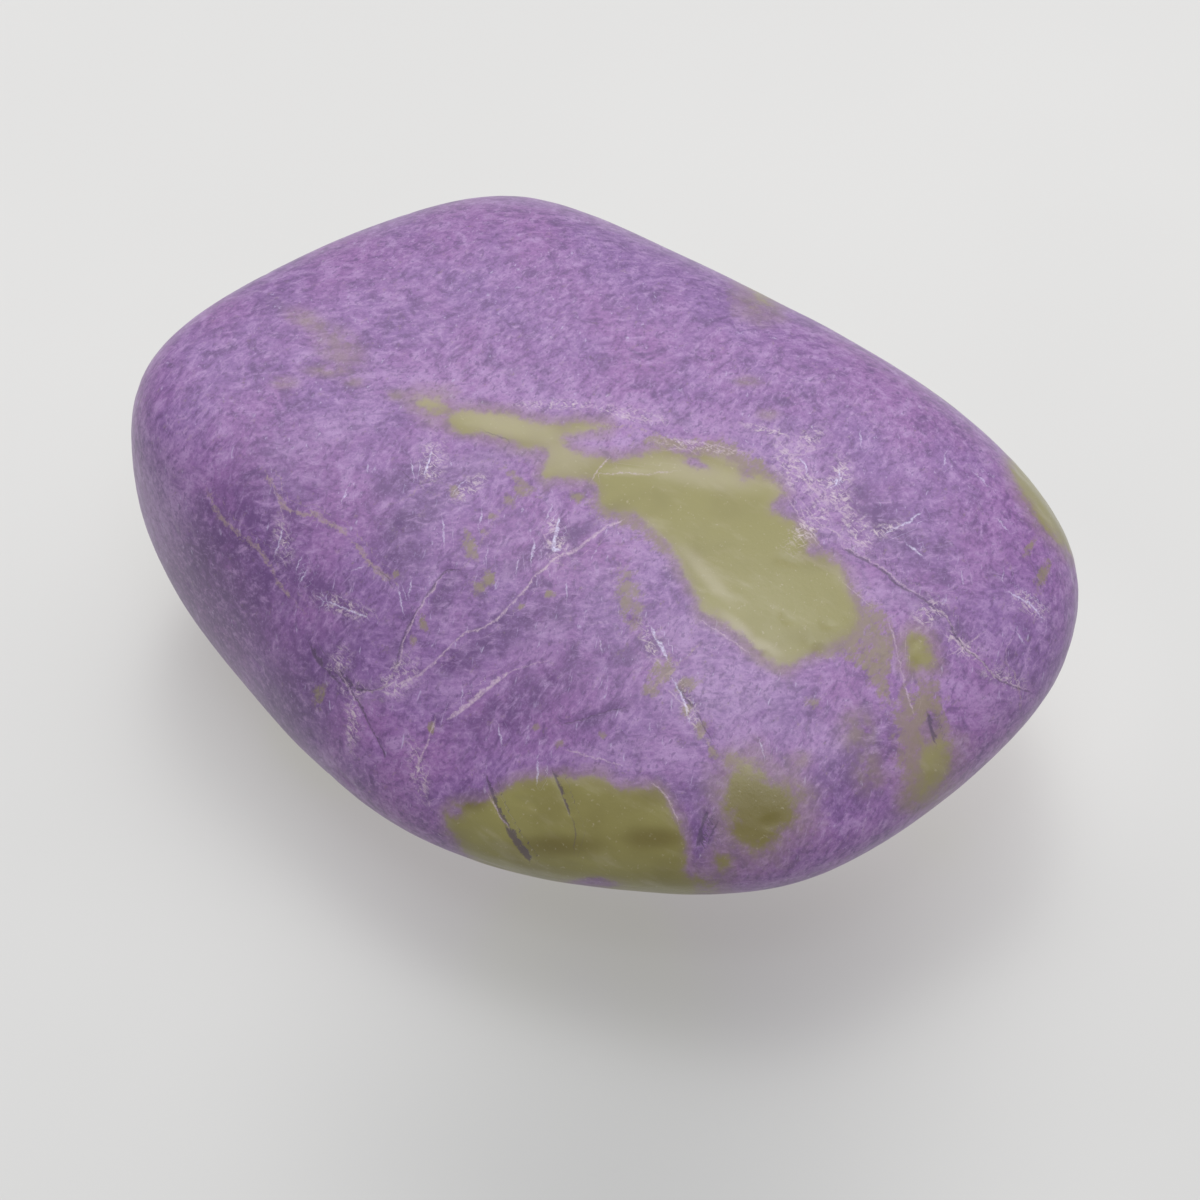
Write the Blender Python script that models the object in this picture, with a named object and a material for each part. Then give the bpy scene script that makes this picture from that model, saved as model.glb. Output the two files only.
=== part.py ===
"""A tumbled stichtite: one natural stone, worn smooth, that rests on a small flat spot.

The stone began as a broken lump with flat sides. Tumbling wore each side back and rounded every edge between
them, so the shape is built the same way: a short table of worn faces, blended into one smooth skin, with a few
shallow hollows where the stone wore faster.

Metres, +Z up. X runs along the stone, from the narrow end (-X) to the broad end (+X). The origin is at the
middle of the bounding box, on the surface that the stone rests on.
"""

import math

import bmesh
import bpy
import numpy as np
from mathutils import Vector

MM = 0.001

# Driving dimensions, in millimetres. The whole stone is scaled to its length.
STONE_LENGTH = 30.9
MIDDLE_HEIGHT = 5.8
EDGE_BLEND = 1.1

# Each worn face: its name, the way it faces (degrees round from +X), how far it leans up (+) or down (-) in
# degrees, and its distance from the stone's middle in millimetres
WORN_FACES = (
    ("top", -138, 86, 6.2),
    ("front of the top", -38, 74, 6.7),
    ("front slope", -62, 57, 7.0),
    ("long side slope", -76, 47, 7.3),
    ("broad end slope", -19, 58, 9.0),
    ("right slope", 54, 54, 12.8),
    ("back slope", 98, 46, 11.2),
    ("narrow end slope", 158, 44, 13.5),
    ("long side", -105, -2, 11.3),
    ("front corner", -58, 0, 14.3),
    ("broad end", -4, 2, 16.1),
    ("right corner", 36, 2, 18.0),
    ("back right edge", 76, 16, 14.6),
    ("back", 99, 5, 12.3),
    ("back corner", 150, 0, 16.1),
    ("narrow end", 176, 0, 15.9),
    ("left corner", -142, 2, 16.6),
    ("under the long side", -82, -38, 11.4),
    ("under the front", -52, -40, 11.0),
    ("under the broad end", -4, -40, 12.7),
    ("under the right corner", 44, -40, 13.4),
    ("under the back", 98, -42, 10.2),
    ("under the narrow end", 172, -42, 12.4),
    ("belly, long side", -90, -78, 7.1),
    ("belly, broad end", 0, -78, 7.3),
    ("belly, back", 90, -78, 7.6),
    ("belly, narrow end", 180, -78, 7.4),
)

# Each shallow hollow: its name, the way to its middle in degrees (round, up), its radius and depth in millimetres
HOLLOWS = (
    ("hollow along the long side", -130, 12, 3.6, 0.22),
    ("dip in the back", 100, -6, 4.5, 0.30),
    ("dip under the right corner", 40, -28, 4.0, 0.28),
    ("dip under the narrow end", -170, -30, 3.8, 0.25),
)

STONE_COLOUR = (0.30, 0.17, 0.42, 1.0)
STONE_ROUGHNESS = 0.35

# How finely the ball that the stone starts from is divided, and its rough proportions, so that its triangles
# end up even
BALL_STEPS = 5
BALL_PROPORTIONS = (8, 6, 3)

# How the skin is found: the first guess at its distance, in millimetres, and how often it is put right
FIRST_GUESS = 30
NEWTON_STEPS = 30

# A vertex nearer than this to the resting surface counts as on it, in metres
CUT_TOLERANCE = 1e-7
SHARPEST_SMOOTH_ANGLE = 35


def clear_scene():
    for obj in list(bpy.data.objects):
        bpy.data.objects.remove(obj, do_unlink=True)


def pointing(round_deg, up_deg):
    """The unit vector that points this far round from +X and this far up."""
    turn = math.radians(round_deg)
    rise = math.radians(up_deg)
    return (math.cos(rise) * math.cos(turn), math.cos(rise) * math.sin(turn), math.sin(rise))


def worn_radii(directions):
    """How far the stone's skin lies from its middle along each direction, in millimetres.

    A sharp stone's skin is where the largest of the faces' overshoots is 0. A sum of exponentials stands in for
    the largest, which rounds each edge over about EDGE_BLEND, and Newton's method finds where it is reached.
    """
    normals = np.array([pointing(turn, rise) for _, turn, rise, _ in WORN_FACES])
    distances = np.array([distance for *_, distance in WORN_FACES])
    slopes = directions @ normals.T / EDGE_BLEND
    radii = np.full(len(directions), float(FIRST_GUESS))
    for _ in range(NEWTON_STEPS):
        overshoots = radii[:, None] * slopes - distances / EDGE_BLEND
        largest = overshoots.max(axis=1, keepdims=True)
        weights = np.exp(overshoots - largest)
        total = weights.sum(axis=1)
        radii -= (np.log(total) + largest[:, 0]) * total / (weights * slopes).sum(axis=1)
    return radii


def wear_hollows(points, directions):
    """Sinks each shallow hollow into the skin, deepest at its middle and fading out smoothly."""
    depths = np.zeros(len(points))
    for _, turn, rise, radius, depth in HOLLOWS:
        towards = np.array([pointing(turn, rise)])
        middle = towards * worn_radii(towards)[:, None]
        spread = np.linalg.norm(points - middle, axis=1) / radius
        depths += depth * np.exp(-(spread**2))
    return points - directions * depths[:, None]


def add_ball():
    """A fine ball of triangles, which becomes the stone."""
    bpy.ops.mesh.primitive_ico_sphere_add(subdivisions=BALL_STEPS, radius=1)
    ball = bpy.context.object
    ball.name = "tumbled_stone"
    ball.data.name = "tumbled_stone"
    return ball


def shape_stone(stone):
    """Moves every point of the ball onto the worn skin, and the skin to the stone's length and place."""
    mesh = stone.data
    coordinates = np.empty(len(mesh.vertices) * 3)
    mesh.vertices.foreach_get("co", coordinates)
    directions = coordinates.reshape(-1, 3) * BALL_PROPORTIONS
    directions /= np.linalg.norm(directions, axis=1, keepdims=True)
    points = wear_hollows(directions * worn_radii(directions)[:, None], directions)
    low = points.min(axis=0)
    high = points.max(axis=0)
    middle = (low + high) / 2
    points -= (middle[0], middle[1], 0)
    points *= STONE_LENGTH / (high[0] - low[0])
    points += (0, 0, MIDDLE_HEIGHT)
    mesh.vertices.foreach_set("co", (points * MM).ravel())
    mesh.update()


def cut_resting_spot(stone):
    """Cuts the belly off at the resting surface, which leaves the small flat spot."""
    work = bmesh.new()
    work.from_mesh(stone.data)
    whole = work.verts[:] + work.edges[:] + work.faces[:]
    cut = bmesh.ops.bisect_plane(
        work,
        geom=whole,
        dist=CUT_TOLERANCE,
        plane_co=Vector((0, 0, 0)),
        plane_no=Vector((0, 0, -1)),
        clear_outer=True,
    )
    rim = [item for item in cut["geom_cut"] if isinstance(item, bmesh.types.BMEdge)]
    bmesh.ops.edgeloop_fill(work, edges=rim)
    bmesh.ops.recalc_face_normals(work, faces=work.faces[:])
    work.to_mesh(stone.data)
    work.free()


def stone_material():
    material = bpy.data.materials.new("violet stichtite")
    material.use_nodes = True
    shader = material.node_tree.nodes["Principled BSDF"]
    shader.inputs["Base Color"].default_value = STONE_COLOUR
    shader.inputs["Roughness"].default_value = STONE_ROUGHNESS
    shader.inputs["Metallic"].default_value = 0
    material.diffuse_color = STONE_COLOUR
    return material


def put_in_collection(obj, name):
    collection = bpy.data.collections.new(name)
    bpy.context.scene.collection.children.link(collection)
    for other in list(obj.users_collection):
        other.objects.unlink(obj)
    collection.objects.link(obj)


def main():
    clear_scene()
    stone = add_ball()
    shape_stone(stone)
    cut_resting_spot(stone)
    stone.data.materials.append(stone_material())
    stone.data.shade_smooth()
    stone.data.set_sharp_from_angle(angle=math.radians(SHARPEST_SMOOTH_ANGLE))
    put_in_collection(stone, "tumbled stichtite")


main()
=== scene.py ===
"""The looks of a tumbled stichtite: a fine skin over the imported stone, with its markings, on a pale floor.

Metres, +Z up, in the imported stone's own frame. The markings that the camera sees are outlines and lines
in the pixels of its square picture, 1200 a side, with y downwards. They are laid onto the skin along the
camera's rays, and a pixel past the stone's outline lies that far round its rim. The markings of the far
side are placed in degrees, round the stone from +X and up.
"""

import math

import bpy
import numpy as np
from mathutils import Matrix, Vector, noise
from mathutils.bvhtree import BVHTree


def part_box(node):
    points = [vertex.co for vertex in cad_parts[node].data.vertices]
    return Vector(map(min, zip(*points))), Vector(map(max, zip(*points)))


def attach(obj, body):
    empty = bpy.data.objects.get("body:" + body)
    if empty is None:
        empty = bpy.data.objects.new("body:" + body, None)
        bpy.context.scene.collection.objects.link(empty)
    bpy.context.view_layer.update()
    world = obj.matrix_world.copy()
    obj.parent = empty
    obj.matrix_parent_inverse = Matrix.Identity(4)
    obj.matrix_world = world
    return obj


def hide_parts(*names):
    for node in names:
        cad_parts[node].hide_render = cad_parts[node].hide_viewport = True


MM = 0.001

# The camera, in degrees, metres and, for the lens and its sensor, millimetres
PICTURE_SIDE = 1200
CAMERA_ROUND = -48
CAMERA_UP = 50
CAMERA_DISTANCE = 0.25
CAMERA_TARGET = (0.0015, -0.0014, 0.0058)
LENS = 225
SENSOR = 36
FOCAL_PIXELS = PICTURE_SIDE * LENS / SENSOR
CLIP_NEAR = 0.01
CLIP_FAR = 10

# The skin's mesh: halvings of a cube's faces, how far its points crowd towards the camera, its smoothing,
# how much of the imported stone's box it may fill, and, in metres, how near the floor a point counts as
# resting
SKIN_HALVINGS = 7
CROWDING = 0.3
SMOOTHING_ROUNDS = 60
SMOOTH_IN = 0.5
SMOOTH_OUT = -0.52
INSIDE_THE_BOX = 0.999
RESTING_TOLERANCE = 1e-6

# Olive serpentine: how soft each edge is, and its outline in picture pixels
OLIVE_PATCHES = (
    # the band and the main patch
    (1.0, (
        (451, 411), (468, 407), (494, 412), (520, 417), (542, 422), (566, 423), (592, 422), (614, 425),
        (596, 431), (568, 432), (562, 440), (575, 452), (600, 457), (632, 459), (656, 450), (672, 453),
        (690, 457), (710, 454), (730, 460), (744, 469), (763, 478), (781, 485), (788, 495), (778, 504),
        (781, 514), (792, 524), (806, 538), (815, 552), (829, 558), (842, 566), (848, 580), (852, 594),
        (858, 606), (860, 622), (852, 636), (836, 646), (822, 650), (806, 656), (784, 664), (766, 657),
        (751, 644), (733, 631), (713, 616), (700, 609), (699, 599), (693, 588), (685, 573), (675, 557),
        (667, 541), (650, 526), (634, 516), (618, 511), (603, 506), (600, 492), (592, 480), (576, 477),
        (557, 476), (541, 481), (546, 466), (552, 452), (540, 447), (527, 446), (511, 442), (494, 436),
        (478, 431), (462, 431), (449, 423),
    )),
    # the spot left of the band
    (1.5, ((417, 400), (428, 397), (445, 400), (450, 407), (438, 413), (424, 408))),
    # the bottom patch, which runs on under the rim
    (1.0, (
        (446, 812), (457, 804), (486, 803), (495, 792), (518, 779), (550, 778), (571, 776), (600, 777),
        (615, 788), (640, 788), (661, 790), (671, 808), (682, 829), (689, 858), (686, 872), (700, 884),
        (690, 915), (640, 930), (590, 915), (560, 935), (520, 920), (500, 890), (478, 866), (461, 846),
        (447, 826),
    )),
    # the soft patch right of it
    (2.4, (
        (728, 792), (731, 774), (743, 764), (757, 770), (777, 780), (793, 793), (801, 812), (795, 830),
        (779, 842), (761, 851), (742, 849), (730, 832),
    )),
    # small spots under the soft patch
    (1.6, ((714, 856), (724, 853), (733, 860), (727, 868), (717, 868))),
    (1.6, ((688, 878), (700, 872), (714, 880), (722, 892), (704, 900))),
    # the triangle and the spots in the tan band at the right
    (1.2, ((906, 631), (918, 630), (930, 644), (939, 669), (924, 672), (909, 672), (904, 652))),
    (2.2, ((914, 732), (927, 745), (944, 740), (947, 760), (941, 784), (927, 796), (917, 776))),
    # the strip along the right end, which runs on round the rim
    (1.0, (
        (1012, 456), (1014, 474), (1022, 492), (1033, 508), (1044, 524), (1055, 538), (1066, 550),
        (1080, 560), (1100, 570), (1122, 545), (1105, 505), (1075, 465), (1042, 436),
    )),
    # spots at the back
    (2.0, ((750, 291), (762, 289), (772, 299), (761, 304), (752, 300))),
)

# Violet that shows through the olive: middle, half sizes and tilt in degrees
VIOLET_SPOTS = (
    (751, 468, 12, 9, 30), (782, 503, 10, 7, 35), (817, 549, 10, 8, 20), (838, 556, 9, 6, 20),
    (590, 884, 24, 6, 0), (696, 462, 12, 5, -20), (931, 728, 6, 11, -10), (902, 668, 4, 18, -14),
    (455, 812, 8, 6, 0),
)

# Tan to olive bands that run down from the main patch: outlines
TAN_BANDS = (
    (
        (838, 652), (840, 622), (856, 600), (878, 604), (894, 626), (899, 656), (903, 678), (912, 698),
        (920, 680), (934, 676), (944, 700), (949, 730), (949, 760), (944, 786), (928, 808), (912, 802),
        (904, 776), (900, 748), (895, 722), (884, 700), (872, 682), (860, 668),
    ),
    ((700, 438), (740, 444), (770, 470), (788, 490), (774, 500), (748, 476), (718, 462), (694, 452)),
    ((596, 496), (620, 506), (652, 524), (676, 548), (662, 552), (636, 532), (608, 520), (590, 508)),
)

# Violet that parts the tan bands: middle, half sizes and tilt in degrees
TAN_GAPS = ((899, 668, 7, 34, -10), (931, 729, 7, 13, -10))

# Tan stains, soft at their edges: middle, half sizes and tilt in degrees
TAN_STAINS = (
    (666, 442, 28, 8, -10), (716, 450, 24, 7, -12), (629, 600, 13, 34, 10), (634, 609, 7, 8, 0),
    (662, 672, 12, 20, -35), (688, 684, 12, 9, 30), (652, 690, 9, 8, 0), (686, 711, 7, 8, 0),
    (700, 730, 6, 10, -20), (714, 751, 6, 8, 0), (470, 545, 8, 17, 15), (478, 588, 6, 10, -10),
    (489, 577, 7, 9, 20), (521, 489, 7, 9, 30), (509, 499, 6, 7, 30), (484, 532, 4, 4, 0),
    (454, 492, 7, 10, 25), (492, 516, 5, 4, 0), (521, 606, 5, 4, 0), (550, 594, 6, 4, 0),
    (424, 624, 5, 11, 20), (577, 497, 13, 5, -20), (520, 481, 26, 5, -35), (319, 694, 6, 15, -20),
    (1044, 574, 6, 18, -20), (1030, 548, 4, 12, -30), (852, 612, 24, 22, -30), (828, 566, 16, 14, -30),
    (832, 642, 34, 16, 0), (838, 574, 28, 9, -52), (810, 536, 16, 8, -42), (690, 476, 30, 8, -10),
    (430, 727, 4, 8, 10), (412, 640, 4, 8, 10), (396, 575, 5, 5, 0), (560, 744, 6, 4, 0),
    (603, 735, 5, 4, 0), (536, 727, 5, 4, 0), (735, 762, 14, 10, 0), (813, 702, 9, 5, 20),
    (444, 410, 11, 5, 0),
)

# Fainter tan stains
FAINT_STAINS = (
    (308, 320, 22, 9, -25), (338, 347, 26, 16, -40), (330, 370, 24, 6, 0), (284, 382, 12, 6, 0),
    (353, 381, 9, 5, 0), (395, 395, 9, 5, 0), (749, 381, 12, 5, 0), (768, 414, 10, 5, 0),
    (858, 730, 18, 20, 0), (870, 772, 16, 22, 0), (914, 800, 20, 12, 30), (762, 657, 28, 8, -35),
    (704, 596, 8, 30, 30), (800, 760, 12, 8, 0),
)

# Where short pale fibres gather: middle, half sizes and tilt in degrees
TANGLES = (
    (793, 467, 26, 12, -52), (838, 498, 17, 11, -40), (857, 529, 21, 12, -60), (810, 437, 14, 8, 30),
    (884, 530, 20, 6, 15), (818, 482, 34, 6, 0), (842, 470, 10, 14, 10), (768, 430, 22, 4, -15),
    (812, 522, 12, 30, -38), (398, 678, 22, 13, 50), (352, 690, 12, 8, 0), (338, 662, 10, 14, -30),
    (345, 607, 30, 8, -18), (432, 462, 12, 22, -10), (470, 486, 18, 8, 35), (556, 540, 10, 22, 10),
    (652, 642, 8, 22, 25), (688, 704, 7, 24, 20), (930, 612, 12, 16, -50), (962, 646, 22, 7, -40),
    (1004, 678, 20, 7, -20), (700, 446, 40, 4, -8), (630, 414, 34, 5, -10), (560, 404, 40, 4, 0),
    (418, 770, 8, 26, 10), (352, 724, 7, 24, 0), (282, 540, 8, 20, 10), (1030, 604, 18, 9, -35),
)

# Dusky violet, soft at its edges: partly the stone's own, partly painted shade over the left face and along
# the bottom
DUSK_AND_PAINTED_SHADE = (
    (215, 560, 50, 110, -38), (300, 690, 36, 80, -35), (758, 812, 44, 40, 0), (655, 838, 30, 10, 0),
    (318, 664, 18, 34, -28), (556, 846, 40, 10, 0), (706, 828, 24, 30, 0), (600, 715, 32, 6, 25),
    (475, 652, 50, 13, 30), (356, 690, 26, 10, 0), (778, 684, 6, 5, 0), (410, 520, 40, 16, 35),
    (470, 470, 46, 14, 25), (640, 650, 30, 9, 20), (560, 540, 60, 10, 30), (880, 520, 60, 18, -40),
    (930, 610, 46, 11, -30), (275, 560, 60, 18, -45), (330, 600, 44, 16, -42), (577, 496, 9, 3, -20),
    (470, 800, 16, 10, 0), (690, 700, 8, 24, 30), (840, 780, 50, 20, 30), (520, 700, 60, 20, 30),
    (268, 303, 12, 8, 20), (400, 480, 34, 12, 30), (445, 588, 8, 26, -28), (398, 652, 8, 20, -15),
    (400, 560, 26, 20, 30), (316, 660, 16, 26, -30), (240, 600, 40, 70, -40), (520, 625, 46, 20, 20),
    (690, 790, 40, 14, 0), (868, 745, 40, 20, 20),
)

# Pale lilac, soft at its edges: partly the stone's own, partly painted highlights near the front ridge and
# along the olive's lower-left edge, and a painted reflection along the left rim
PALE_AND_PAINTED_HIGHLIGHTS = (
    (706, 574, 34, 7, -48), (740, 628, 20, 6, -42), (764, 646, 20, 6, -25), (636, 471, 30, 4, 0),
    (720, 690, 60, 34, 15), (690, 640, 34, 16, -35), (640, 545, 46, 15, -32), (620, 760, 44, 18, 0),
    (650, 758, 44, 20, 0), (440, 626, 10, 14, -30), (690, 425, 60, 8, -4), (800, 470, 44, 30, -38),
    (870, 590, 40, 14, -40), (960, 690, 34, 14, -20), (740, 720, 34, 30, 0), (500, 460, 60, 12, 8),
    (650, 415, 70, 8, 0), (560, 400, 60, 10, 0), (515, 427, 64, 12, -14), (600, 440, 50, 14, 0),
    (660, 436, 40, 10, -8), (700, 474, 60, 12, -10), (460, 385, 80, 22, 0), (450, 690, 30, 12, 20),
    (565, 455, 30, 20, 0), (745, 446, 34, 20, -10), (172, 490, 22, 60, -10), (745, 690, 34, 20, 20),
    (640, 760, 40, 14, 0), (840, 540, 34, 12, -45), (330, 430, 50, 14, 20), (345, 418, 44, 7, 38),
    (400, 690, 30, 10, 20), (540, 640, 30, 14, 30), (820, 740, 26, 16, 0), (905, 600, 20, 10, -40),
)

# Lines in picture pixels: their width in the middle, and their points
CREAM_LINES = (
    (2.52, (
        (622, 520), (604, 527), (588, 540), (572, 552), (553, 558), (548, 566), (535, 575), (528, 586),
        (518, 598), (508, 607), (499, 617), (491, 623), (478, 631), (464, 631),
    )),
    (2.08, ((464, 632), (456, 641), (443, 653), (435, 661), (426, 669), (416, 677), (396, 684))),
    (1.54, (
        (441, 577), (431, 591), (420, 606), (413, 619), (405, 635), (400, 650), (401, 658), (396, 668),
        (391, 676), (384, 686),
    )),
    (1.4, ((393, 672), (386, 684), (376, 692), (361, 691), (352, 700))),
    (1.68, ((435, 718), (430, 735), (424, 750), (417, 764), (416, 776))),
    (4.8, ((447, 720), (458, 712), (472, 702), (488, 687), (508, 673))),
    (1.1, ((889, 622), (897, 645), (902, 670), (908, 695), (914, 714))),
    (0.63, ((508, 673), (526, 666), (548, 660))),
    (1.76, ((609, 457), (603, 464), (598, 470), (593, 478))),
    (0.88, ((700, 620), (716, 630), (732, 640), (748, 652))),
    (1.08, ((842, 545), (856, 553), (870, 559), (886, 569), (899, 582), (912, 591), (925, 596))),
    (1.92, ((932, 600), (938, 609), (947, 615), (953, 627))),
    (1.32, ((955, 638), (966, 649), (979, 657), (988, 669), (996, 677), (1010, 683), (1027, 689))),
    (1.08, ((984, 632), (970, 643), (949, 656))),
    (1.2, ((778, 441), (790, 452), (789, 462), (800, 470), (806, 482), (818, 486))),
    (0.9, ((788, 452), (802, 456), (812, 449), (826, 446))),
    (0.9, ((751, 424), (768, 428), (785, 434))),
    (0.81, ((684, 440), (712, 444), (738, 450))),
    (0.9, ((612, 404), (628, 416), (648, 421), (664, 420))),
    (0.8, ((812, 470), (818, 486), (832, 496), (842, 512), (851, 521))),
    (0.64, ((826, 494), (838, 500), (852, 496))),
    (0.81, ((788, 497), (797, 512), (808, 530), (822, 546))),
    (0.64, ((798, 497), (812, 514), (824, 528))),
    (0.56, ((846, 584), (862, 598), (872, 606))),
    (0.81, ((604, 474), (622, 473), (642, 474), (672, 472))),
    (0.64, ((667, 450), (686, 447), (696, 453))),
    (1.2, ((567, 750), (590, 757), (622, 765))),
    (1.3, ((488, 795), (495, 806), (501, 818), (508, 829))),
    (1.3, ((652, 784), (664, 792), (672, 806), (679, 822))),
    (0.88, ((428, 800), (424, 786), (429, 770))),
    (1.04, ((421, 781), (424, 792), (430, 806))),
    (0.72, ((349, 705), (354, 722), (350, 741))),
    (0.8, ((338, 672), (346, 684), (351, 694))),
    (1.0, ((668, 690), (684, 704), (700, 722))),
    (0.56, ((272, 487), (279, 506), (284, 518))),
    (0.48, ((1012, 640), (1004, 655), (1012, 668))),
    (2.4, ((784, 446), (790, 454), (794, 464), (802, 472))),
    (1.82, ((806, 484), (816, 490), (824, 500), (832, 508))),
    (1.68, ((794, 448), (804, 444), (814, 446))),
    (1.82, ((830, 500), (840, 508), (850, 520))),
    (1.44, ((820, 524), (832, 530), (846, 540))),
)
TAN_LINES = (
    (6.0, (
        (264, 470), (270, 480), (276, 494), (284, 508), (302, 515), (315, 512), (325, 523), (337, 526),
        (346, 535), (354, 544), (361, 552), (371, 566), (380, 572), (398, 585),
    )),
    (4.9, (
        (205, 488), (217, 513), (235, 531), (248, 540), (259, 549), (270, 567), (276, 580), (289, 596),
        (304, 615),
    )),
    (3.0, ((700, 644), (685, 657), (672, 670), (660, 683), (647, 693))),
    (1.6, ((682, 706), (696, 726), (706, 740), (716, 754))),
    (1.2, ((1000, 655), (1012, 668), (1022, 690), (1021, 708))),
    (1.2, ((455, 571), (466, 566), (476, 551), (488, 530), (500, 510), (522, 488))),
    (0.84, ((430, 470), (418, 488), (404, 500), (388, 505))),
    (2.8, ((598, 424), (620, 425), (642, 428), (660, 433), (668, 444))),
)
CRACK_LINES = (
    (2.21, ((459, 571), (449, 568), (440, 575), (431, 589), (420, 604))),
    (1.32, ((420, 604), (410, 620), (403, 636), (398, 652), (396, 668), (386, 684))),
    (2.88, ((386, 685), (374, 692), (362, 690), (350, 689), (343, 680), (334, 672))),
    (2.08, ((350, 690), (356, 700), (362, 712), (370, 727), (379, 744), (386, 761))),
    (5.6, ((309, 644), (314, 656), (322, 668))),
    (4.14, ((338, 670), (345, 678), (353, 688))),
    (1.96, ((322, 668), (333, 678), (341, 686))),
    (2.55, ((842, 547), (856, 555), (870, 561), (886, 572), (898, 585), (914, 593))),
    (1.68, (
        (914, 593), (932, 604), (949, 617), (956, 637), (968, 652), (982, 660), (996, 679), (1012, 685),
        (1031, 693),
    )),
    (4.75, ((486, 776), (492, 792), (499, 812), (508, 828))),
    (7.6, ((505, 824), (512, 836), (520, 848), (530, 862))),
    (3.575, ((552, 770), (559, 786), (566, 803), (570, 816))),
    (0.72, ((572, 820), (576, 834), (574, 848))),
    (4.8, ((928, 714), (932, 726), (936, 744))),
    (6.3, ((707, 812), (703, 828), (697, 848))),
    (2.4, ((718, 822), (711, 836), (708, 846))),
    (3.52, ((676, 686), (686, 698), (694, 708))),
    (1.0, ((694, 708), (702, 724), (712, 742))),
    (0.8, ((560, 724), (580, 722), (604, 712), (626, 708))),
    (0.64, ((1030, 556), (1036, 572), (1044, 592))),
    (0.63, ((505, 447), (512, 440), (490, 433), (484, 430))),
    (0.64, ((400, 470), (412, 482), (426, 484), (440, 478))),
    (0.56, ((392, 586), (384, 574), (372, 568))),
)
WHITE_LINES = (
    (1.3, ((281, 529), (279, 540), (275, 554))),
    (1.1, ((300, 558), (296, 570))),
    (1.1, ((305, 571), (299, 584))),
    (0.9, ((347, 488), (341, 501))),
    (1.44, ((431, 451), (428, 462), (424, 475))),
    (1.0, ((411, 462), (413, 475))),
    (1.0, ((443, 520), (444, 546))),
    (0.9, ((411, 580), (409, 595))),
    (0.9, ((398, 589), (402, 611))),
    (1.44, ((465, 480), (453, 492))),
    (1.21, ((552, 505), (546, 518))),
    (2.52, ((560, 515), (556, 532), (551, 551), (561, 549))),
    (2.1, ((534, 543), (531, 562))),
    (1.0, ((481, 512), (479, 528))),
    (1.43, ((921, 512), (907, 523), (886, 533))),
    (1.32, ((909, 544), (922, 556))),
    (1.32, ((1009, 592), (1023, 599), (1034, 606), (1044, 619))),
    (0.9, ((946, 453), (944, 463))),
    (0.72, ((976, 472), (991, 488))),
    (0.72, ((1005, 571), (1003, 580))),
    (0.9, ((963, 573), (963, 584))),
    (0.72, ((1017, 632), (1024, 642))),
    (0.9, ((860, 433), (862, 446))),
    (1.0, ((839, 468), (840, 482))),
    (1.2, ((498, 727), (501, 744))),
    (1.2, ((538, 758), (537, 781))),
    (1.02, ((318, 597), (334, 604), (350, 611), (367, 618))),
    (0.8, ((326, 596), (320, 606))),
    (2.4, ((651, 628), (658, 641), (668, 660))),
    (1.2, ((673, 680), (684, 700), (690, 722))),
    (1.0, ((566, 585), (567, 596))),
    (0.72, ((488, 548), (486, 562))),
    (0.81, ((353, 570), (362, 566))),
    (0.72, ((462, 690), (461, 702))),
    (0.72, ((518, 560), (516, 572))),
    (0.72, ((600, 640), (602, 652))),
    (0.72, ((1000, 520), (1008, 530))),
    (0.72, ((760, 742), (764, 756))),
    (1.68, ((830, 487), (838, 484), (843, 476))),
    (1.32, ((800, 458), (806, 464), (808, 474))),
)

# The far side, in degrees round the stone from +X and up: olive outlines
FAR_OLIVE = (
    # the band round the back, which goes on from the strip along the right end
    (1.0, (
        (52, 18), (60, 22), (67, 21), (76, 18), (84, 20), (92, 14), (100, 15), (107, 9), (114, 9), (119, 3),
        (126, 0), (129, -7), (136, -13), (137, -20), (143, -27), (142, -36), (135, -41), (130, -34),
        (124, -33), (122, -24), (115, -21), (112, -13), (105, -12), (101, -5), (92, -3), (87, 3), (78, 3),
        (72, 8), (63, 7), (54, 9),
    )),
    # smaller patches
    (1.4, ((70, -21), (77, -17), (86, -20), (91, -27), (84, -31), (75, -29))),
    (1.6, ((147, 14), (155, 19), (162, 16), (159, 10), (151, 9))),
    (1.2, ((189, 3), (196, -2), (201, -9), (198, -19), (192, -23), (187, -15), (191, -7))),
    (1.6, ((199, 11), (205, 8), (207, 2), (201, 1))),
    (1.2, ((21, -26), (32, -27), (41, -33), (37, -41), (26, -38))),
    (1.8, ((9, -12), (15, -9), (19, -15), (13, -20))),
    (1.2, ((227, -22), (238, -18), (251, -22), (255, -28), (242, -31), (231, -28))),
    (1.4, ((256, -33), (264, -29), (271, -33), (262, -39))),
    (1.4, ((53, -42), (62, -37), (71, -42), (64, -51), (55, -50))),
    (2.0, ((163, 35), (172, 37), (178, 32), (169, 29))),
)
FAR_VIOLET = ((98, 6, 5, 2.4, -25), (118, -7, 4.5, 2.4, -45), (132, -25, 3, 3, 0), (74, 13, 5, 1.8, -5))
FAR_TAN = (
    (76, 3, 9, 3, -12), (140, -12, 7, 4, -40), (158, 12, 6, 3, 0), (186, -18, 6, 4, 30),
    (20, -24, 8, 5, -20), (224, -20, 7, 3, 0), (98, -14, 4, 2, 0), (150, -34, 6, 4, 0), (2, -8, 4, 5, 10),
    (176, 2, 3, 2, 0),
)
FAR_TANGLES = (
    (96, 12, 12, 4, -10), (120, 2, 8, 6, -30), (150, 4, 10, 6, 20), (70, -8, 8, 5, 0), (200, -4, 6, 10, 10),
    (180, -18, 8, 5, 0), (40, -14, 8, 5, 0), (230, -18, 8, 5, 0), (110, -28, 10, 4, 0), (140, 24, 10, 4, 0),
)
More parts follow.
